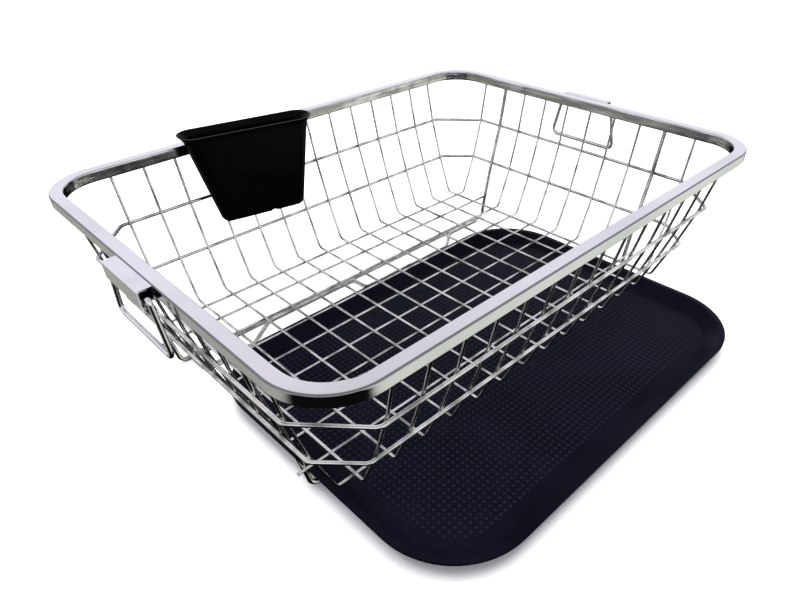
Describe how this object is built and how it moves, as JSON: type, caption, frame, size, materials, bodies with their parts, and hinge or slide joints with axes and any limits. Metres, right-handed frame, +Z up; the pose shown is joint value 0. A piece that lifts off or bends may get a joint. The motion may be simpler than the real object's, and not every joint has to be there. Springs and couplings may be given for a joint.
{
  "type": "dish drying rack",
  "caption": "Wire dish drying rack with a flat-topped chrome rim, two folding wire handles, a hanging cutlery cup and a plastic drip tray that slides out under the front.",
  "frame": {"origin": "on the ground under the middle of the basket", "axes": "+X along the rack to its right end, +Y to its back, +Z up"},
  "size_m": [0.5292, 0.4579, 0.1755],
  "materials": {
    "wire_chrome": "bright plated wire",
    "rim_chrome": "bright chrome plate",
    "bracket_chrome": "bright chrome plate",
    "bail_chrome": "bright chrome plate",
    "tray_plastic": "fine satin",
    "cup_plastic": "gloss"
  },
  "bodies": {
    "basket": {"cross_wire_01": "wire_chrome", "cross_wire_02": "wire_chrome", "cross_wire_03": "wire_chrome", "cross_wire_04": "wire_chrome", "cross_wire_05": "wire_chrome", "cross_wire_06": "wire_chrome", "cross_wire_07": "wire_chrome", "cross_wire_08": "wire_chrome", "cross_wire_09": "wire_chrome", "cross_wire_10": "wire_chrome", "cross_wire_11": "wire_chrome", "cross_wire_12": "wire_chrome", "cross_wire_13": "wire_chrome", "cross_wire_14": "wire_chrome", "length_wire_01": "wire_chrome", "length_wire_02": "wire_chrome", "length_wire_03": "wire_chrome", "length_wire_04": "wire_chrome", "length_wire_05": "wire_chrome", "length_wire_06": "wire_chrome", "length_wire_07": "wire_chrome", "length_wire_08": "wire_chrome", "length_wire_09": "wire_chrome", "length_wire_10": "wire_chrome", "ring_upper": "wire_chrome", "ring_lower": "wire_chrome", "foot_wire_back": "wire_chrome", "foot_wire_front": "wire_chrome", "tray_rest_wire": "wire_chrome", "rim_tube": "rim_chrome", "bracket_left": "bracket_chrome", "bracket_right": "bracket_chrome"},
    "handle_left": {"bail_left": "bail_chrome"},
    "handle_right": {"bail_right": "bail_chrome"},
    "cutlery_holder": {"cutlery_cup": "cup_plastic"},
    "tray": {"drip_tray": "tray_plastic"}
  },
  "joints": [
    {"name": "left_handle_hinge", "type": "hinge", "parent": "basket", "child": "handle_left", "pos_m": [-0.2598, 0, 0.1566], "axis": [0, 1, 0], "range_deg": [-6, 170]},
    {"name": "right_handle_hinge", "type": "hinge", "parent": "basket", "child": "handle_right", "pos_m": [0.2598, 0, 0.1566], "axis": [0, -1, 0], "range_deg": [-6, 170]},
    {"name": "cup_lift", "type": "slide", "parent": "basket", "child": "cutlery_holder", "axis": [0, 0, 1], "range_m": [0, 0.03]},
    {"name": "tray_slide", "type": "slide", "parent": "basket", "child": "tray", "axis": [0, 1, 0], "range_m": [-0.007, 0.0955]}
  ]
}
